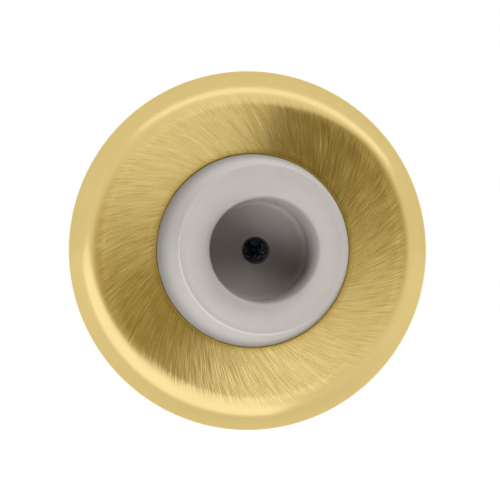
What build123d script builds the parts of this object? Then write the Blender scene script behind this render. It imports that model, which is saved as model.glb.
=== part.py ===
from build123d import *
import os
from math import asin, cos, degrees, radians, sin, sqrt, tan

# Concave wall bumper: a drawn brass cover, a moulded rubber bumper, a pressed steel backing plate
# and the screw that clamps all three against a wall.
# The wall is the XZ plane. Heights are measured off the wall, towards the room, along -Y.
# Lengths are in millimetres and angles in degrees.

# Brass cover
cover_diameter = 63.5
cover_sheet = 1.0
rim_angle = 85.0
rim_roll_width = 2.55
shoulder_width = 3.7
shoulder_radius = 9.5
crown_angle = 12.0
opening_diameter = 33.7
opening_edge_radius = 0.2
rim_edge_radius = 0.1

# Rubber bumper
bumper_projection = 25.4
bumper_tip_diameter = 29.0
bumper_clearance = 0.1
skirt_setback = 0.6
skirt_edge_radius = 0.6
front_step_inset = 1.1
crest_inset = 2.2
front_step_drop = 0.2
front_step_radius = 1.0
tip_drop = 0.28
tip_edge_radius = 0.6
recess_mouth_diameter = 18.2
recess_lip_radius = 3.2
recess_depth = 12.9
recess_floor_diameter = 16.9
recess_floor_radius = 0.8
recess_floor_dish = 0.3
web_thickness = 1.5
driver_hole_diameter = 4.3
driver_hole_edge_radius = 0.35

# Steel backing plate
plate_sheet = 1.2
plate_wall_gap = 0.5
plate_rim_clearance = 0.3
plate_edge_radius = 0.25
hat_base_diameter = 21.0
hat_top_diameter = 15.0
hat_bend_radius = 0.8
hat_clearance = 0.3
screw_hole_clearance = 0.2

# Mounting screw, number 8 by 1 1/2 inch, flat head, cross recess
screw_length = 38.1
screw_head_diameter = 8.0
screw_head_angle = 82.0
screw_head_land = 0.3
screw_shank_diameter = 3.4
screw_thread_diameter = 4.17
screw_thread_start = 0.8
screw_point_length = 6.0
screw_point_diameter = 0.4
cross_span = 4.6
cross_width = 1.15
cross_depth = 2.3
cross_foot_span = 1.7
cross_foot_width = 0.7
cross_core_diameter = 2.5
cross_turn = 45.0

# Section plane: its x is the radius, its y the height off the wall.
section = Plane(origin=(0, 0, 0), x_dir=(1, 0, 0), z_dir=(0, 0, -1))

# Cover, worked out: from nearly upright at the wall, the rim's roll runs on into a gentler shoulder, and
# that into the crown's straight slope. The steepness is the angle at which roll and shoulder meet.
cover_radius = cover_diameter / 2
opening_radius = opening_diameter / 2
crown_radius = cover_radius - rim_roll_width - shoulder_width
steepness = degrees(asin(sin(radians(crown_angle)) + shoulder_width / shoulder_radius))
rim_roll_radius = rim_roll_width / (sin(radians(rim_angle)) - sin(radians(steepness)))
rim_roll_centre = (
    cover_radius - rim_roll_radius * sin(radians(rim_angle)),
    -rim_roll_radius * cos(radians(rim_angle)),
)
shoulder_centre = (
    rim_roll_centre[0] - (shoulder_radius - rim_roll_radius) * sin(radians(steepness)),
    rim_roll_centre[1] - (shoulder_radius - rim_roll_radius) * cos(radians(steepness)),
)


def crown_height(radius, depth=0):
    """Height of the crown's cone at a radius, that depth below the cover's outer face."""
    start_height = shoulder_centre[1] + shoulder_radius * cos(radians(crown_angle))
    slope = tan(radians(crown_angle))
    return start_height + (crown_radius - radius) * slope - depth / cos(radians(crown_angle))


# Bumper and plate, worked out: they stack from the wall up to the cover's underside.
bumper_root_radius = opening_radius - bumper_clearance
plate_top = plate_wall_gap + plate_sheet
floor_height = bumper_projection - recess_depth
web_underside = floor_height - recess_floor_dish - web_thickness
hat_top = web_underside
rim_roll_inside = sqrt((rim_roll_radius - cover_sheet) ** 2 - (plate_top - rim_roll_centre[1]) ** 2)
plate_radius = rim_roll_centre[0] + rim_roll_inside - plate_rim_clearance
screw_hole_radius = screw_thread_diameter / 2 + screw_hole_clearance
head_slope = tan(radians(screw_head_angle / 2))
dimple_radius = screw_head_diameter / 2 + screw_head_land * head_slope


def turned(*outlines):
    """Solid of revolution about Y of closed outlines drawn on the section plane."""
    with BuildPart() as solid:
        with BuildSketch(section):
            for outline in outlines:
                add(outline)
        revolve(axis=Axis.Y)
    return solid.part


def corner(sketch, radius, height):
    """Vertex of a section outline nearest to a radius and height."""
    return sketch.vertices().sort_by_distance((radius, height, 0))[0]


def cover_skin(depth):
    """Roll, shoulder and crown of the drawn sheet, up from the wall, that depth below its outer face."""
    foot = degrees(asin(-rim_roll_centre[1] / (rim_roll_radius - depth)))
    roll = CenterArc(rim_roll_centre, rim_roll_radius - depth, foot, 90 - steepness - foot)
    shoulder = CenterArc(shoulder_centre, shoulder_radius - depth, 90 - steepness, steepness - crown_angle)
    crown = Line(shoulder @ 1, (opening_radius, crown_height(opening_radius, depth)))
    return roll, shoulder, crown


def make_brass_cover():
    """Sheet brass drawn to a low cone with a rolled shoulder and pierced for the bumper."""
    with BuildSketch() as outline:
        with BuildLine():
            outer = cover_skin(0)
            inner = cover_skin(cover_sheet)
            Line(outer[-1] @ 1, inner[-1] @ 1)
            Line(outer[0] @ 0, inner[0] @ 0)
        make_face()
        fillet(corner(outline, opening_radius, crown_height(opening_radius)), opening_edge_radius)
        fillet(corner(outline, cover_radius, 0), rim_edge_radius)
    return turned(outline.sketch)


def make_rubber_bumper():
    """Moulded bumper: a skirt under the cover, a tapered nose whose front has a soft step near its edge,
    and a deep recess with a thin web."""
    skirt_radius = crown_radius - skirt_setback
    tip = (bumper_tip_diameter / 2, bumper_projection - tip_drop)
    crest = (tip[0] - crest_inset, bumper_projection)
    front_step = (tip[0] - front_step_inset, bumper_projection - front_step_drop)
    mouth = (recess_mouth_diameter / 2, bumper_projection)
    floor = (recess_floor_diameter / 2, floor_height)
    hole_edge = (driver_hole_diameter / 2, floor_height - recess_floor_dish)
    cavity_top = (hat_top_diameter / 2 + hat_clearance, web_underside)
    cavity_foot = (hat_base_diameter / 2 + hat_clearance, plate_top)
    skirt_top = (skirt_radius, crown_height(skirt_radius, cover_sheet))
    with BuildSketch() as outline:
        with BuildLine():
            Polyline(
                crest,
                mouth,
                floor,
                hole_edge,
                (hole_edge[0], web_underside),
                cavity_top,
                cavity_foot,
                (skirt_radius, plate_top),
                skirt_top,
                (bumper_root_radius, crown_height(bumper_root_radius, cover_sheet)),
                (bumper_root_radius, crown_height(bumper_root_radius)),
                tip,
                front_step,
            )
            TangentArc(crest, front_step, tangent=(1, 0))
        make_face()
        fillet(corner(outline, *mouth), min(recess_lip_radius, crest[0] - mouth[0]))
        fillet(corner(outline, *floor), recess_floor_radius)
        fillet(corner(outline, *hole_edge), driver_hole_edge_radius)
        fillet(corner(outline, *tip), tip_edge_radius)
        fillet(corner(outline, *front_step), front_step_radius)
        fillet(corner(outline, *skirt_top), skirt_edge_radius)
        fillet(corner(outline, *cavity_foot), hat_bend_radius + hat_clearance)
    return turned(outline.sketch)


def make_backing_plate():
    """Pressed steel plate: a flat ring under the skirt and a hat dimpled for the screw's head."""
    dimple_depth = (dimple_radius - screw_hole_radius) / head_slope
    hat_foot = (hat_base_diameter / 2, plate_top)
    hat_edge = (hat_top_diameter / 2, hat_top)
    with BuildSketch() as outline:
        with BuildLine():
            Polyline(
                (plate_radius, plate_top),
                hat_foot,
                hat_edge,
                (dimple_radius, hat_top),
                (screw_hole_radius, hat_top - dimple_depth),
            )
            offset(amount=plate_sheet, kind=Kind.INTERSECTION, side=Side.LEFT)
        make_face()
        fillet(corner(outline, *hat_foot), hat_bend_radius)
        fillet(corner(outline, hat_foot[0] - plate_sheet, plate_wall_gap), hat_bend_radius + plate_sheet)
        fillet(corner(outline, *hat_edge), hat_bend_radius + plate_sheet)
        fillet(corner(outline, hat_edge[0] - plate_sheet, hat_top - plate_sheet), hat_bend_radius)
        fillet(corner(outline, plate_radius, plate_top), plate_edge_radius)
        fillet(corner(outline, plate_radius, plate_wall_gap), plate_edge_radius)
    return turned(outline.sketch)


def make_mounting_screw():
    """Flat-headed screw, its thread left plain at full diameter, with a cross recess in its head."""
    head_radius = screw_head_diameter / 2
    shank_radius = screw_shank_diameter / 2
    thread_radius = screw_thread_diameter / 2
    head_height = screw_head_land + (head_radius - shank_radius) / head_slope
    tip_height = hat_top - screw_length
    with BuildSketch() as outline:
        with BuildLine():
            Polyline(
                (0, hat_top),
                (head_radius, hat_top),
                (head_radius, hat_top - screw_head_land),
                (shank_radius, hat_top - head_height),
                (shank_radius, -screw_thread_start),
                (thread_radius, -screw_thread_start),
                (thread_radius, tip_height + screw_point_length),
                (screw_point_diameter / 2, tip_height),
                (0, tip_height),
                close=True,
            )
        make_face()
    head_face = Plane(origin=(0, -hat_top, 0), x_dir=(1, 0, 0), z_dir=(0, 1, 0))
    with BuildPart() as screw:
        add(turned(outline.sketch))
        for turn in (cross_turn, cross_turn + 90):
            with BuildSketch(head_face):
                Rectangle(cross_span, cross_width, rotation=turn)
            with BuildSketch(head_face.offset(cross_depth)):
                Rectangle(cross_foot_span, cross_foot_width, rotation=turn)
            loft(mode=Mode.SUBTRACT)
        with BuildSketch(head_face):
            Circle(cross_core_diameter / 2)
        with BuildSketch(head_face.offset(cross_depth)):
            Circle(cross_foot_width / 2)
        loft(mode=Mode.SUBTRACT)
    return screw.part


nodes = {
    "brass_cover": make_brass_cover(),
    "rubber_bumper": make_rubber_bumper(),
    "steel_backing_plate": make_backing_plate(),
    "mounting_screw": make_mounting_screw(),
}
os.makedirs("parts", exist_ok=True)
for name, solid in nodes.items():
    export_step(solid, f"parts/{name}.step")
    print(f"{name}: {solid.volume:.1f} mm3")
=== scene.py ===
import bpy
import numpy as np
from mathutils import Matrix, Vector


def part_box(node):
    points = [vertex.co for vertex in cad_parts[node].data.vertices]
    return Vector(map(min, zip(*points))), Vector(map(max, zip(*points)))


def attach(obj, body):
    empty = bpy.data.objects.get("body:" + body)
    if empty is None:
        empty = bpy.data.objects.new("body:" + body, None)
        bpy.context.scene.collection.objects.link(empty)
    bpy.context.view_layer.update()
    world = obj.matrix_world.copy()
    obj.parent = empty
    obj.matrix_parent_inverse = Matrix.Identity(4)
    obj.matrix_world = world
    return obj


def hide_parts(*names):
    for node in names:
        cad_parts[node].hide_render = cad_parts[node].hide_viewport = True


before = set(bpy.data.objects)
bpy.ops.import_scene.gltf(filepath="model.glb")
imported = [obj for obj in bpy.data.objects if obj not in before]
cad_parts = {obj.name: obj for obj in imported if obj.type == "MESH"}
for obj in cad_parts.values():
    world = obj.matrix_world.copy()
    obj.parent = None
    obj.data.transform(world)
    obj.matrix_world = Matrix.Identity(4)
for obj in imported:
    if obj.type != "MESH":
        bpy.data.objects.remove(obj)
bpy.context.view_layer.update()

# Brass cover
# One disc of sheet brass, drawn to a low cone with a rolled shoulder and pierced in the middle.
# The crown is brushed while it turns, so its marks run off the radius. The shoulder stays polished.
mm = 0.001
cover_radius = 31.75
cover_sheet = 1.0
cover_facet = 0.4
rim_slope = np.radians(85.0)
rim_roll_width = 2.55
roll_steps = 30
shoulder_width = 3.7
shoulder_bend = 9.5
shoulder_steps = 24
crown_slope = np.radians(12.0)
opening_radius = 16.85
opening_edge = 0.2
rim_edge = 0.1
sharp_edge = 0.06
steepness = np.arcsin(np.sin(crown_slope) + shoulder_width / shoulder_bend)
rim_roll = rim_roll_width / (np.sin(rim_slope) - np.sin(steepness))
roll_centre = np.array([cover_radius - rim_roll * np.sin(rim_slope), -rim_roll * np.cos(rim_slope)])
shoulder_centre = roll_centre - (shoulder_bend - rim_roll) * np.array([np.sin(steepness), np.cos(steepness)])


def arc(centre, radius, start, end, steps):
    """Points at equal angles on a circle about centre, from start to end in radians."""
    angle = np.linspace(start, end, steps)
    return np.stack([centre[0] + radius * np.cos(angle), centre[1] + radius * np.sin(angle)], axis=1)


def rounded(corners, radii, steps=9):
    """A closed outline whose corners become arcs. Each arc touches both sides of its corner, so its
    centre lies on the corner's bisector, at the radius over the sine of half the corner's angle."""
    corners = np.asarray(corners, float)
    runs = []
    for before, here, after, radius in zip(np.roll(corners, 1, 0), corners, np.roll(corners, -1, 0), radii):
        if radius == 0:
            runs.append(here[None])
            continue
        to_before = (before - here) / np.linalg.norm(before - here)
        to_after = (after - here) / np.linalg.norm(after - here)
        half = np.arccos(to_before @ to_after) / 2
        bisector = (to_before + to_after) / np.linalg.norm(to_before + to_after)
        sideways = (to_after - to_before) / np.linalg.norm(to_after - to_before)
        turn = np.linspace(-1, 1, steps)[:, None] * (np.pi / 2 - half)
        centre = here + bisector * radius / np.sin(half)
        runs.append(centre + radius * (np.sin(turn) * sideways - np.cos(turn) * bisector))
    return np.concatenate(runs)


def divided(outline, longest):
    """The closed outline with each side cut evenly, so that no side is longer than that."""
    sides = np.roll(outline, -1, 0) - outline
    counts = np.maximum(np.ceil(np.linalg.norm(sides, axis=1) / longest), 1).astype(int)
    which = np.repeat(np.arange(len(outline)), counts)
    first = np.cumsum(counts) - counts
    share = (np.arange(len(which)) - first[which]) / counts[which]
    return outline[which] + sides[which] * share[:, None]


def show(name, points, faces):
    """A smooth mesh object, from points in millimetres and the corners of its faces."""
    mesh = bpy.data.meshes.new(name)
    mesh.from_pydata((points * mm).tolist(), [], faces)
    mesh.polygons.foreach_set("use_smooth", np.ones(len(mesh.polygons), bool))
    piece = bpy.data.objects.new(name, mesh)
    bpy.context.scene.collection.objects.link(piece)
    return piece


def turned(name, outline, segments=240):
    """The surface that a closed outline of (radius, height off the wall) sweeps round the Y axis.
    The outline's own normals, turned alike, shade it."""
    area = np.sum(outline[:, 0] * np.roll(outline[:, 1], -1) - np.roll(outline[:, 0], -1) * outline[:, 1])
    if area < 0:
        outline = outline[::-1]
    along = np.roll(outline, -1, 0) - np.roll(outline, 1, 0)
    outward = np.stack([along[:, 1], -along[:, 0]], axis=1) / np.linalg.norm(along, axis=1, keepdims=True)
    angle = np.linspace(0, 2 * np.pi, segments, endpoint=False)[:, None]

    def swept(pairs):
        """Each pair turned to every angle: (radius cos angle, -height, radius sin angle)."""
        across = pairs[:, 0] * np.cos(angle)
        up = pairs[:, 0] * np.sin(angle)
        return np.stack([across, -pairs[:, 1] + 0 * angle, up], axis=2).reshape(-1, 3)

    ring = np.arange(segments)[:, None] * len(outline)
    step = np.arange(len(outline))
    next_ring = np.roll(ring, -1, 0)
    next_step = np.roll(step, -1)
    quads = np.stack([ring + step, next_ring + step, next_ring + next_step, ring + next_step], axis=2)
    piece = show(name, swept(outline), quads.reshape(-1, 4).tolist())
    piece.data.normals_split_custom_set_from_vertices(swept(outward).tolist())
    return piece


def cover_skin(depth):
    """The rim's roll up from the wall, the gentler shoulder and the crown's line to the opening, that far
    below the sheet's outer face: two arcs that share a tangent, then a straight slope."""
    foot = np.arcsin(-roll_centre[1] / (rim_roll - depth))
    meeting = np.pi / 2 - steepness
    roll = arc(roll_centre, rim_roll - depth, foot, meeting, roll_steps)
    shoulder = arc(shoulder_centre, shoulder_bend - depth, meeting, np.pi / 2 - crown_slope, shoulder_steps)
    rise = (shoulder[-1, 0] - opening_radius) * np.tan(crown_slope)
    return np.concatenate([roll, shoulder[1:], [[opening_radius, shoulder[-1, 1] + rise]]])


outer = cover_skin(0)
inner = cover_skin(cover_sheet)[::-1]
edges = np.zeros(len(outer) + len(inner))
edges[0] = rim_edge
edges[len(outer) - 1] = opening_edge
edges[[len(outer), -1]] = sharp_edge
cover_outline = rounded(np.concatenate([outer, inner]), edges)
cover = turned("drawn_brass_cover", divided(cover_outline, cover_facet))
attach(cover, "root")
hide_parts("brass_cover")


class Wire:
    """A shader socket that takes part in arithmetic: each operator adds the Math node it stands for."""

    def __init__(self, socket):
        self.socket = socket

    def node(self, kind, settings, sockets, output=0):
        """A node of that type in the same material: its settings come first, then values and links."""
        tree = self.socket.id_data
        made = tree.nodes.new(kind)
        for key, value in settings.items():
            setattr(made, key, value)
        for key, value in sockets.items():
            if isinstance(value, Wire):
                tree.links.new(value.socket, made.inputs[key])
            else:
                made.inputs[key].default_value = value
        return Wire(made.outputs[output])

    def maths(self, operation, *values):
        """A Math node on this number and those values."""
        return self.node("ShaderNodeMath", {"operation": operation}, dict(enumerate((self, *values))))

    def vector(self, operation, *values, output=0, **named):
        """A Vector Math node on this vector and those values. Its second output is a number."""
        sockets = {**dict(enumerate((self, *values))), **named}
        return self.node("ShaderNodeVectorMath", {"operation": operation}, sockets, output)

    def __add__(self, other):
        return self.maths("ADD", other)

    def __sub__(self, other):
        return self.maths("SUBTRACT", other)

    def __rsub__(self, other):
        return self * -1 + other

    def __mul__(self, other):
        return self.maths("MULTIPLY", other)

    def __truediv__(self, other):
        return self.maths("DIVIDE", other)

    def __rtruediv__(self, other):
        return self.maths("POWER", -1) * other

    __radd__ = __add__
    __rmul__ = __mul__

    def times(self, amount):
        """A vector scaled by a number."""
        return self.vector("SCALE", Scale=amount)

    def step(self, low, high):
        """0 up to low, 1 from high on, and smooth in between."""
        settings = {"interpolation_type": "SMOOTHSTEP"}
        return self.node("ShaderNodeMapRange", settings, {"Value": self, "From Min": low, "From Max": high})

    def mix(self, first, second):
        """The first colour where this is 0, and the second where it is 1. The node's inputs 6 and 7
        and its output 2 are the ones for colours."""
        return self.node("ShaderNodeMix", {"data_type": "RGBA"}, {0: self, 6: first, 7: second}, 2)

    def noise(self, cells, detail=2.0, roughness=0.5):
        """Noise at this place with that many cells to a unit, less one half, so that it lies about zero."""
        sockets = {"Vector": self, "Scale": cells, "Detail": detail, "Roughness": roughness}
        return self.node("ShaderNodeTexNoise", {}, sockets) - 0.5

    def into(self, shader, name):
        """Links this to a socket of the shader."""
        self.socket.id_data.links.new(self.socket, shader.inputs[name])


def finish(piece, name, plain):
    """A new material on the piece with its plain values set, as its shader and its place in millimetres."""
    material = bpy.data.materials.new(name)
    material.use_nodes = True
    piece.data.materials.append(material)
    shader = material.node_tree.nodes["Principled BSDF"]
    for key, value in plain.items():
        shader.inputs[key].default_value = value
    coordinates = material.node_tree.nodes.new("ShaderNodeTexCoord")
    return shader, Wire(coordinates.outputs["Object"]).times(1 / mm)


# The brush marks are spirals that cross each radius at one angle: along a mark, the way round the axis grows
# by that angle's tangent times the logarithm of the radius. Turned back by as much, a place points to its
# mark. A mark is a ploughed groove with one long flank, so the finest ones lean the surface to one side.
brush_angle = np.radians(30.0)
brush_lean = 0.222
brush_spread = 0.65
brush_fade = (25.45, 27.85)
flanks_per_radian = 1500.0
marks_per_radian = 130.0
bands_per_radian = 30.0
cells_along_mark = 0.25
patch_cells = 0.12
ripple_cells = 1.2
mark_tilt = 0.03
band_tilt = 0.04
ripple_tilt = 0.006
brass_roughness = 0.2
mark_roughness = 0.08
patch_roughness = 0.04
polished_depth = 0.66
brushed_lift = 0.24
mark_depth = 0.6
band_depth = 0.3
opening_shade_depth = 0.3
opening_shade_reach = (17.0, 21.5)
patch_depth = 0.2
edge_shade_width = 1.3
edge_shade_falloff = 1.5
burr_and_shade_reach = (0.2, 0.4)
burr_dullness = 0.8
brass_light = (0.80, 0.62, 0.255, 1.0)
brass_deep = (0.64, 0.495, 0.195, 1.0)
brass_edge_shade = (0.45, 0.32, 0.06, 1.0)
brass_burr_shade = (0.45, 0.29, 0.035, 1.0)
brass_grazed = (0.9, 0.8, 0.55, 1.0)
brass, place = finish(cover, "brushed_brass", {"Specular Tint": brass_grazed})
flat = place.vector("MULTIPLY", (1, 0, 1))
radius = flat.vector("LENGTH", output=1)
outward = flat.vector("NORMALIZE")
round_about = outward.vector("CROSS_PRODUCT", (0, 1, 0))
swing = radius.maths("LOGARITHM", np.e) * np.tan(brush_angle)
mark = outward.times(swing.maths("COSINE")).vector("SUBTRACT", round_about.times(swing.maths("SINE")))
across = outward.times(np.sin(brush_angle)).vector("SUBTRACT", round_about.times(np.cos(brush_angle)))
lengthwise = radius.node("ShaderNodeCombineXYZ", {}, {"Y": radius * cells_along_mark})
flanks, marks, bands = (
    mark.times(count).vector("ADD", lengthwise).noise(1.0, detail=1.0)
    for count in (flanks_per_radian, marks_per_radian, bands_per_radian)
)
patches = place.noise(patch_cells)
ripple = place.noise(ripple_cells)
brushed = 1 - (radius + marks).step(*brush_fade)
grooves = brush_lean + brush_spread * flanks + mark_tilt * marks + band_tilt * bands
tilt = brushed * grooves + ripple_tilt * ripple
normal = place.node("ShaderNodeNewGeometry", {}, {}, "Normal")
normal.vector("ADD", across.times(tilt)).vector("NORMALIZE").into(brass, "Normal")
(brass_roughness + mark_roughness * brushed * marks + patch_roughness * patches).into(brass, "Roughness")
# Painted shade: the brass darkens towards the opening's edge. Its cut edge is duller metal and is also
# painted dark brown, for the dark line where brass meets rubber.
edge_shade = (1 - (radius - opening_radius) / edge_shade_width).maths("MAXIMUM", 0).maths("POWER", edge_shade_falloff)
# Painted shade: the crown's base colour deepens towards the opening, where the rubber nose shades the brass.
opening_shade = 1 - radius.step(*opening_shade_reach)
burr_and_shade = 1 - (radius - opening_radius).step(*burr_and_shade_reach)
marks_and_opening_shade = mark_depth * marks + band_depth * bands + opening_shade_depth * opening_shade - brushed_lift
shade = (polished_depth + brushed * marks_and_opening_shade + patch_depth * patches).mix(brass_light, brass_deep)
burr_and_shade.mix(edge_shade.mix(shade, brass_edge_shade), brass_burr_shade).into(brass, "Base Color")
(1 - burr_dullness * burr_and_shade).into(brass, "Metallic")

# Rubber bumper
# One moulding of warm grey rubber: a skirt behind the cover, a tapered nose and a deep recess whose thin
# web has a hole for the screwdriver. The mould leaves a satin skin with a faint bloom.
bumper_top = -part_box("rubber_bumper")[0].y / mm
bumper_facet = 0.45
skirt_foot = -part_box("rubber_bumper")[1].y / mm
skirt_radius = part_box("rubber_bumper")[1].x / mm
skirt_round = 0.6
root_gap = 0.03
tip_radius = 14.5
tip_drop = 0.28
tip_round = 0.6
front_step_inset = 1.1
front_step_drop = 0.2
front_step_round = 1.0
front_steps = 8
crest_inset = 2.2
mouth_radius = 9.1
lip_round = 3.2
recess_depth = 12.9
floor_radius = 8.45
floor_round = 0.8
floor_dish = 0.3
web_thickness = 1.5
hole_radius = 2.15
hole_round = 0.35
cavity_top_radius = 7.8
cavity_top_round = 0.3
cavity_foot_radius = 10.8
cavity_foot_round = 1.1
root_radius = opening_radius - root_gap
root_height = outer[-1, 1]
skirt_rise = (skirt_radius - opening_radius) * np.tan(crown_slope)
tip = (tip_radius, bumper_top - tip_drop)
front_step = (tip_radius - front_step_inset, bumper_top - front_step_drop)
crest = (tip_radius - crest_inset, bumper_top)
recess_floor = bumper_top - recess_depth
hole_height = recess_floor - floor_dish
web_underside = hole_height - web_thickness
step_out = front_step[0] - crest[0]
step_down = crest[1] - front_step[1]
front_bend = (step_out ** 2 + step_down ** 2) / (2 * step_down)
front_turn = np.arcsin(step_out / front_bend)
front_centre = (crest[0], bumper_top - front_bend)
front = arc(front_centre, front_bend, np.pi / 2 - front_turn, np.pi / 2, front_steps)
corners = [
    ((mouth_radius, bumper_top), lip_round),
    ((floor_radius, recess_floor), floor_round),
    ((hole_radius, hole_height), hole_round),
    ((hole_radius, web_underside), sharp_edge),
    ((cavity_top_radius, web_underside), cavity_top_round),
    ((cavity_foot_radius, skirt_foot), cavity_foot_round),
    ((skirt_radius, skirt_foot), sharp_edge),
    ((skirt_radius, inner[0, 1] - skirt_rise), skirt_round),
    ((root_radius, inner[0, 1]), sharp_edge),
    ((root_radius, root_height), sharp_edge),
    (tip, tip_round),
    (front_step, front_step_round),
    *[(point, 0) for point in front[1:]],
]
bumper_outline = rounded([point for point, _ in corners], [edge for _, edge in corners])
bumper = turned("moulded_rubber_bumper", divided(bumper_outline, bumper_facet))
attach(bumper, "root")
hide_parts("rubber_bumper")

# The nose's root has painted shade towards the cover, less on the right, and its side is painted a cooler
# grey to cancel the brass's yellow bounce. The recess's right wall and the hole's rim have painted shade, a
# thin pale ring stands round the hole, and the nose's edge is rubbed to a shine at the lower left.
rubber_light = (0.56, 0.515, 0.485, 1.0)
rubber_deep = (0.49, 0.45, 0.425, 1.0)
rubber_side_painted_cool = (0.53, 0.51, 0.50, 1.0)
recess_skin = (0.535, 0.50, 0.48, 1.0)
wall_painted_shade = (0.33, 0.305, 0.29, 1.0)
root_painted_shade = (0.31, 0.295, 0.285, 1.0)
hole_rim_shade = (0.25, 0.225, 0.215, 1.0)
hole_ring_pale = (0.62, 0.57, 0.55, 1.0)
satin = {"Specular IOR Level": 0.05, "Coat Roughness": 0.08, "Coat IOR": 2.2}
bloom_cells = 0.25
grain_cells = 9.0
ring_cells = 1.1
grain_relief = 0.006
ring_relief = 0.02
even_depth = 0.5
bloom_depth = 0.9
grain_depth = 0.3
satin_roughness = 0.5
bloom_roughness = 0.2
grain_roughness = 0.15
cool_side_share = 0.8
cool_side_reach = (13.9, 14.6)
root_shade_reach = (13.2, 14.2)
root_shade_top = 20.0
shade_free_way = (0.94, 0, 0.34)
shade_free_reach = (8.0, 15.0)
wall_radius = 8.4
wall_drift = 0.06
wall_band = (0.4, 1.0)
wall_side = (-8.0, 1.0)
wall_foot = (13.5, 15.5)
lip_reach = (8.8, 10.2)
hole_ring_radius = 2.56
hole_ring_band = (0.03, 0.13)
hole_shade_wander = 0.3
hole_shade_reach = (2.38, 2.52)
shine_way = (-0.5, 0, -0.87)
shine_side = (2.0, 11.0)
shine_reach = (13.8, 14.2)
shine_height = (24.65, 24.9)
rubber, place = finish(bumper, "moulded_rubber", satin)
bloom = place.noise(bloom_cells, detail=4.0, roughness=0.6)
grain = place.noise(grain_cells, detail=3.0, roughness=0.6)
radius = place.vector("MULTIPLY", (1, 0, 1)).vector("LENGTH", output=1)
height = place.vector("DOT_PRODUCT", (0, -1, 0), output=1)
rightwards = place.vector("DOT_PRODUCT", (1, 0, 0), output=1)
ripples = radius.node("ShaderNodeCombineXYZ", {}, {"X": radius}).noise(ring_cells, detail=1.0)
relief = grain_relief * grain + ring_relief * ripples
moulded = (even_depth + bloom_depth * bloom + grain_depth * grain).mix(rubber_light, rubber_deep)
# Painted light: the nose's side is painted a cooler grey to cancel the brass's yellow bounce.
skin = (cool_side_share * radius.step(*cool_side_reach)).mix(moulded, rubber_side_painted_cool)
# Painted shade: the nose darkens at its root towards the cover, less so on the right.
shade_free_right = place.vector("DOT_PRODUCT", shade_free_way, output=1).step(*shade_free_reach)
root_shade = (1 - (height + bloom).step(root_height, root_shade_top)) * radius.step(*root_shade_reach) * (1 - shade_free_right)
# Painted shade: a dark band down the right side of the recess wall.
off_wall = (radius - wall_radius - wall_drift * rightwards).maths("ABSOLUTE")
wall_shade = (1 - off_wall.step(*wall_band)) * rightwards.step(*wall_side) * height.step(*wall_foot)
nose = root_shade.mix(skin, root_painted_shade)
recess_shaded = wall_shade.mix(radius.step(*lip_reach).mix(recess_skin, nose), wall_painted_shade)
# A thin paler ring round the driver's hole.
ringed = (radius - hole_ring_radius).maths("ABSOLUTE").step(*hole_ring_band).mix(hole_ring_pale, recess_shaded)
# Painted shade: a dark ring on the driver hole's rim, where its bevel lies in shade.
(radius + hole_shade_wander * bloom).step(*hole_shade_reach).mix(hole_rim_shade, ringed).into(rubber, "Base Color")
(satin_roughness + bloom_roughness * bloom + grain_roughness * grain).into(rubber, "Roughness")
lower_left = place.vector("DOT_PRODUCT", shine_way, output=1).step(*shine_side)
(radius.step(*shine_reach) * height.step(*shine_height) * lower_left).into(rubber, "Coat Weight")
place.node("ShaderNodeBump", {}, {"Distance": mm, "Height": relief}).into(rubber, "Normal")

# Steel backing plate
# Pressed from sheet steel and zinc plated: a flat ring that holds the skirt up against the cover, and a
# hat that reaches up to the web, dimpled to seat the screw's head.
plate_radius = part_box("steel_backing_plate")[1].x / mm
plate_sheet = 1.2
plate_edge = 0.25
plate_facet = 0.5
hat_top = web_underside
hat_top_radius = 7.5
hat_foot_radius = 10.5
hat_bend = 0.8
head_slope = np.tan(np.radians(41.0))
head_land = 0.3
head_seat = 4.0
screw_hole = 2.285
dimple = head_seat + head_land * head_slope
dimple_foot = hat_top - (dimple - screw_hole) / head_slope
plate_front = [
    (plate_radius, skirt_foot),
    (hat_foot_radius, skirt_foot),
    (hat_top_radius, hat_top),
    (dimple, hat_top),
    (screw_hole, dimple_foot),
]


def behind(path, depth):
    """The same path set back by a depth: each corner moves along its bisector to keep both sides apart."""
    path = np.asarray(path, float)
    sides = np.diff(path, axis=0)
    square = np.stack([-sides[:, 1], sides[:, 0]], axis=1) / np.linalg.norm(sides, axis=1, keepdims=True)
    before = np.concatenate([square[:1], square])
    after = np.concatenate([square, square[-1:]])
    return path + depth * (before + after) / (1 + np.sum(before * after, axis=1, keepdims=True))


plate_corners = np.concatenate([plate_front, behind(plate_front, plate_sheet)[::-1]])
wide_bend = hat_bend + plate_sheet
plate_bends = [plate_edge, hat_bend, wide_bend, *[sharp_edge] * 4, hat_bend, wide_bend, plate_edge]
plate = turned("pressed_steel_plate", divided(rounded(plate_corners, plate_bends), plate_facet))
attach(plate, "root")
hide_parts("steel_backing_plate")

zinc_light = (0.66, 0.67, 0.68, 1.0)
zinc_deep = (0.48, 0.50, 0.53, 1.0)
spangle_cells = 0.35
spangle_depth = 0.35
spangle_roughness = 0.06
rolling_stretch = (0.08, 1.0, 1.0)
rolling_cells = 4.0
rolling_depth = 0.8
rolling_roughness = 0.25
rolling_relief = 0.04 * mm
rolling_strength = 0.3
zinc_roughness = 0.3
zinc, place = finish(plate, "zinc_plated_steel", {"Metallic": 1.0})
crystals = place.node("ShaderNodeTexVoronoi", {}, {"Vector": place, "Scale": spangle_cells}, "Color")
spangle = crystals.vector("LENGTH", output=1)
rolling = place.vector("MULTIPLY", rolling_stretch).noise(rolling_cells, detail=3.0, roughness=0.6)
(spangle_depth * spangle + rolling_depth * rolling).mix(zinc_light, zinc_deep).into(zinc, "Base Color")
(zinc_roughness + rolling_roughness * rolling + spangle_roughness * spangle).into(zinc, "Roughness")
scored = {"Strength": rolling_strength, "Distance": rolling_relief, "Height": rolling}
place.node("ShaderNodeBump", {}, scored).into(zinc, "Normal")

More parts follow.
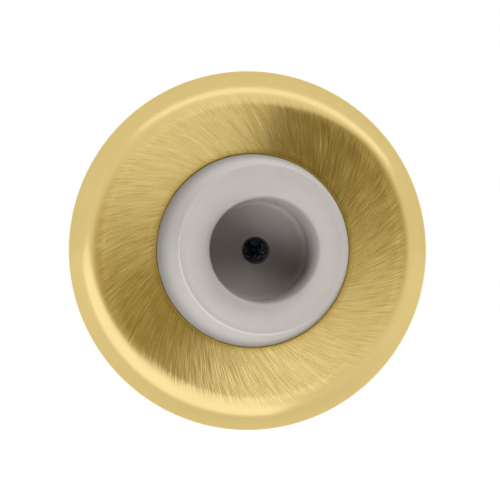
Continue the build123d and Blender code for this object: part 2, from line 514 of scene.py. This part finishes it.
# Mounting screw
# A flat-headed steel screw, blackened, with a cross recess for the driver and a rolled thread that runs
# out in a point. Its head seats in the plate's dimple behind the web, and its thread goes into the wall.
screw_tip = -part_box("mounting_screw")[1].y / mm
head_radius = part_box("mounting_screw")[1].x / mm
face_middle = 0.04
face_rings = 110
shank_radius = 1.7
shank_gap = 0.4
thread_radius = 2.085
thread_pitch = 1.6
thread_start = -0.8
thread_steps = 18
root_share = 0.70
ridge_foot = 0.55
ridge_fullness = 1.15
point_length = 6.0
point_radius = 0.2
cross_depth = 2.3
slot_reach = 2.3
slot_foot_reach = 0.85
slot_half = 0.575
slot_foot_half = 0.35
core_radius = 1.25
crease = np.radians(40.0)
screw_turns = 96
angle = np.linspace(0, 2 * np.pi, screw_turns, endpoint=False)


def cross_recess(across, up):
    """Depth of the recess at a place on the head: two crossed slots whose ends and sides slope inwards
    on the way down, each as deep as its nearest sloping wall allows, and a round core."""
    ways = np.stack([across + up, up - across]) / np.sqrt(2)
    ends = (slot_reach - np.abs(ways)) / (slot_reach - slot_foot_reach)
    sides = (slot_half - np.abs(ways[::-1])) / (slot_half - slot_foot_half)
    core = (core_radius - np.hypot(across, up)) / (core_radius - slot_foot_half)
    deepest = np.maximum(np.minimum(ends, sides).max(axis=0), core)
    return cross_depth * np.clip(deepest, 0, 1)


face_radius = np.linspace(face_middle, head_radius, face_rings)[:, None]
face_across = face_radius * np.cos(angle)
face_up = face_radius * np.sin(angle)
face_height = hat_top - cross_recess(face_across, face_up)
recess_foot = hat_top - cross_depth
head_foot = hat_top - head_land - (head_radius - shank_radius) / head_slope
thread_height = np.arange(thread_start, screw_tip, -thread_pitch / thread_steps)[:, None]
taper = np.clip((thread_height - screw_tip) / point_length, point_radius / thread_radius, 1)
wound = (thread_height / thread_pitch + angle / (2 * np.pi)) % 1
ridge = np.clip((1 - np.abs(2 * wound - 1) / ridge_foot) * ridge_fullness, 0, 1)
run_in = np.clip((thread_start - thread_height) / thread_pitch, 0, 1)
thread_wall = thread_radius * taper * (root_share + (1 - root_share) * ridge * run_in)
shank = np.array([
    (head_radius, hat_top - head_land),
    (shank_radius, head_foot),
    (shank_radius, thread_start + shank_gap),
])
ones = np.ones(screw_turns)
rings_across = np.concatenate([face_across, shank[:, :1] * np.cos(angle), thread_wall * np.cos(angle)])
rings_up = np.concatenate([face_up, shank[:, :1] * np.sin(angle), thread_wall * np.sin(angle)])
rings_height = np.concatenate([face_height, shank[:, 1:] * ones, thread_height * ones])
rings = np.stack([rings_across, -rings_height, rings_up], axis=2).reshape(-1, 3)
poles = np.array([(0, -recess_foot, 0), (0, -screw_tip, 0)])
ring = np.arange(len(rings_across) - 1)[:, None] * screw_turns
step = np.arange(screw_turns)
next_step = np.roll(step, -1)
here = ring + step
beside = ring + next_step
quads = np.stack([here, beside, beside + screw_turns, here + screw_turns], axis=2)
last_ring = len(rings) - screw_turns
first_fan = np.stack([next_step, step, 0 * step + len(rings)], axis=1)
last_fan = np.stack([last_ring + step, last_ring + next_step, 0 * step + len(rings) + 1], axis=1)
faces = quads.reshape(-1, 4).tolist() + first_fan.tolist() + last_fan.tolist()
screw = show("cross_recess_screw", np.concatenate([rings, poles]), faces)
screw.data.set_sharp_from_angle(angle=crease)
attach(screw, "root")
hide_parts("mounting_screw")

# The black is mottled and worn off in flecks where a driver bites the recess. The pale flecks are also
# painted glints.
oxide_light = (0.15, 0.18, 0.25, 1.0)
oxide_deep = (0.055, 0.07, 0.105, 1.0)
bare_steel_glint = (0.82, 0.88, 0.98, 1.0)
mottle_cells = 1.5
mottle_depth = 1.4
mottle_roughness = 0.3
oxide_depth = 0.5
oxide_roughness = 0.42
fleck_cells = 2.3
fleck_edge = (0.10, 0.14)
bite_margin = (0.8, 0.3)
oxide, place = finish(screw, "black_oxide", {"Specular IOR Level": 0.1})
mottle = place.noise(mottle_cells, detail=3.0, roughness=0.6)
height = place.vector("DOT_PRODUCT", (0, -1, 0), output=1)
bitten = height.step(*(recess_foot - margin for margin in bite_margin))
# Pale flecks: partly wear, partly painted glints.
worn_and_glints = place.noise(fleck_cells, detail=2.0, roughness=0.6).step(*fleck_edge) * bitten
blackened = (oxide_depth + mottle_depth * mottle).mix(oxide_light, oxide_deep)
worn_and_glints.mix(blackened, bare_steel_glint).into(oxide, "Base Color")
(oxide_roughness + mottle_roughness * mottle).into(oxide, "Roughness")

# Studio
# A white sweep far below and a white room. A dark oval card in front grades out to white, so that the brass
# has something to mirror between two bright strips. Four lamps light what doesn't mirror. The card's sizes
# are in millimetres, and those of the floor, the strips and the lamps in metres.
scene = bpy.context.scene
scene.view_settings.view_transform = "Standard"
black = (0.0, 0.0, 0.0, 1.0)
white = (1.0, 1.0, 1.0, 1.0)
room_light = (0.9, 0.9, 0.9, 1.0)


def shown(tree, dull, clear):
    """The dull colour for the rays of dull surfaces, the clear one for the rays that show the background, and
    black for others. The clear ones are the camera's, and those of mirrors and glass that no dull surface
    has scattered."""
    rays = tree.nodes.new("ShaderNodeLightPath").outputs
    camera, glossy, through = (Wire(rays[f"Is {kind} Ray"]) for kind in ("Camera", "Glossy", "Transmission"))
    unscattered = Wire(rays["Diffuse Depth"]).maths("LESS_THAN", 1)
    sees = camera.maths("MAXIMUM", glossy).maths("MAXIMUM", through) * unscattered
    return sees.mix(Wire(rays["Is Diffuse Ray"]).mix(black, dull), clear)


def panel(name, corners, paint):
    """A flat piece of the studio with its own material, as its object, its shader and its place."""
    mesh = bpy.data.meshes.new(name)
    mesh.from_pydata(corners, [], [tuple(range(len(corners)))])
    board = bpy.data.objects.new(name, mesh)
    scene.collection.objects.link(board)
    shader, place = finish(board, name, {"Base Color": paint, "Roughness": 1.0, "Emission Strength": 1.0})
    return board, shader, place


floor_drop = 0.9
floor_reach = 60.0
floor_paint = (0.5, 0.5, 0.5, 1.0)
floor_glow = (0.6, 0.6, 0.6, 1.0)
square = [(-1, -1), (1, -1), (1, 1), (-1, 1)]
floor_corners = [(x * floor_reach, y * floor_reach, -floor_drop) for x, y in square]
_, paper, _ = panel("studio_floor", floor_corners, floor_paint)
shown(paper.id_data, black, floor_glow).into(paper, "Emission Color")

world = bpy.data.worlds.new("studio_white")
world.use_nodes = True
scene.world = world
sky = world.node_tree.nodes["Background"]
shown(world.node_tree, room_light, white).into(sky, "Color")

# The card's dark oval is turned, and each half of it has its own reach, which widens or narrows lengthways.
card_distance = 470.0
card_size = (2600.0, 1700.0)
card_centre = (96.0, 0.0, 108.0)
card_half = 890.0
card_above = (391.0, -0.546)
card_below = (680.0, 0.439)
card_least = 60.0
card_turn = np.radians(36.0)
card_core = 0.43
card_level = 0.102
card_warmth = (1.3, 1.0, 0.1, 1.0)
shade_reach = (600.0, 1100.0)
card_x, card_z = (size / 2 * mm for size in card_size)
card_corners = [(x * card_x, -card_distance * mm, z * card_z) for x, z in square]
card, felt, place = panel("graded_card", card_corners, black)
spot = place.vector("SUBTRACT", card_centre)
along = spot.vector("DOT_PRODUCT", (np.cos(card_turn), 0, np.sin(card_turn)), output=1)
aside = spot.vector("DOT_PRODUCT", (-np.sin(card_turn), 0, np.cos(card_turn)), output=1)
upper = aside.maths("GREATER_THAN", 0)
reach_above, reach_below = (half + flare * along for half, flare in (card_above, card_below))
reach = (upper * reach_above + (1 - upper) * reach_below).maths("MAXIMUM", card_least)
lengthways = along / card_half
crossways = aside / reach
oval = (lengthways * lengthways + crossways * crossways).maths("SQRT")
level = card_level + (1 - card_level) * oval.step(card_core, 1.0)
mirrored = level.mix(card_warmth, white).times(level)
off_centre = place.vector("MULTIPLY", (1, 0, 1)).vector("LENGTH", output=1)
shaded = off_centre.step(*shade_reach).mix(black, room_light)
shown(felt.id_data, shaded, mirrored).into(felt, "Emission Color")
card.visible_camera = False
card.visible_transmission = False
card.visible_shadow = False

lamp_distance = 0.45
strip_light = (1.45, 1.48, 1.70, 1.0)


def facing(screen_angle, off_axis, roll):
    """The way from the object to a lamp, by its angle on the picture (clockwise from the right) and its angle
    off the object's axis, and the directions of the lamp's length and width, rolled about that way."""
    way, off, roll = np.radians((screen_angle, off_axis, roll))
    towards = np.array([np.sin(off) * np.cos(way), -np.cos(off), -np.sin(off) * np.sin(way)])
    away = np.array([np.cos(off) * np.cos(way), np.sin(off), -np.cos(off) * np.sin(way)])
    lengthwise = np.cross(towards, away) * np.cos(roll) + away * np.sin(roll)
    return towards, lengthwise, np.cross(towards, lengthwise)


def strip(name, screen_angle, off_axis, roll, length, width):
    """A bright panel for the brass to mirror, which neither lights nor shades what is dull."""
    towards, lengthwise, crosswise = facing(screen_angle, off_axis, roll)
    half_length = lengthwise * length / 2
    half_width = crosswise * width / 2
    corners = [towards * lamp_distance + half_length * x + half_width * y for x, y in square]
    board, shader, _ = panel(name, corners, black)
    shown(shader.id_data, black, strip_light).into(shader, "Emission Color")
    board.visible_camera = False
    board.visible_diffuse = False
    board.visible_transmission = False
    board.visible_shadow = False


def lamp(name, screen_angle, off_axis, length, width, brightness):
    """A lamp for what is dull. Its watts are its face's brightness times pi times its area."""
    light = bpy.data.lights.new(name, "AREA")
    light.shape = "RECTANGLE"
    light.size = length
    light.size_y = width
    light.energy = brightness * np.pi * length * width
    towards, lengthwise, crosswise = facing(screen_angle, off_axis, 0)
    box = bpy.data.objects.new(name, light)
    box.location = towards * lamp_distance
    box.rotation_euler = Matrix((lengthwise, crosswise, towards)).transposed().to_euler()
    box.visible_camera = False
    box.visible_glossy = False
    scene.collection.objects.link(box)


strip("lower_left_strip", screen_angle=127, off_axis=57.3, roll=-4.5, length=1.04, width=0.222)
strip("upper_strip", screen_angle=283, off_axis=62.8, roll=-6.5, length=0.96, width=0.099)
lamp("lower_left_lamp", screen_angle=118, off_axis=53, length=0.3, width=0.2, brightness=8.6)
lamp("upper_lamp", screen_angle=285, off_axis=54, length=0.3, width=0.2, brightness=5.9)
lamp("left_lamp", screen_angle=200, off_axis=78, length=0.3, width=0.12, brightness=2.0)
lamp("right_lamp", screen_angle=42, off_axis=53, length=0.3, width=0.2, brightness=1.8)

# Camera
# It stands a little to the left of the axis and a touch below it, far enough off for a flat view.
photo_pixels = 500
rim_pixels = 179.5
rim_on_picture = np.array([248.3, 250.6])
pixels_per_mm = rim_pixels / cover_radius
camera_distance = 600 * mm
camera_left = np.radians(5.9)
camera_below = np.radians(0.25)
towards = Vector((
    -np.sin(camera_left) * np.cos(camera_below),
    -np.cos(camera_left) * np.cos(camera_below),
    -np.sin(camera_below),
))
lens = bpy.data.cameras.new("camera")
lens.sensor_width = 36.0
lens.lens = lens.sensor_width * camera_distance / (photo_pixels / pixels_per_mm * mm)
turn = towards.to_track_quat("Z", "Y")
right = turn @ Vector((1, 0, 0))
above = turn @ Vector((0, 1, 0))
miss = (photo_pixels / 2 - rim_on_picture) / pixels_per_mm * mm
camera = bpy.data.objects.new("camera", lens)
camera.location = towards * camera_distance + right * miss[0] - above * miss[1]
camera.rotation_euler = turn.to_euler()
scene.collection.objects.link(camera)
scene.camera = camera
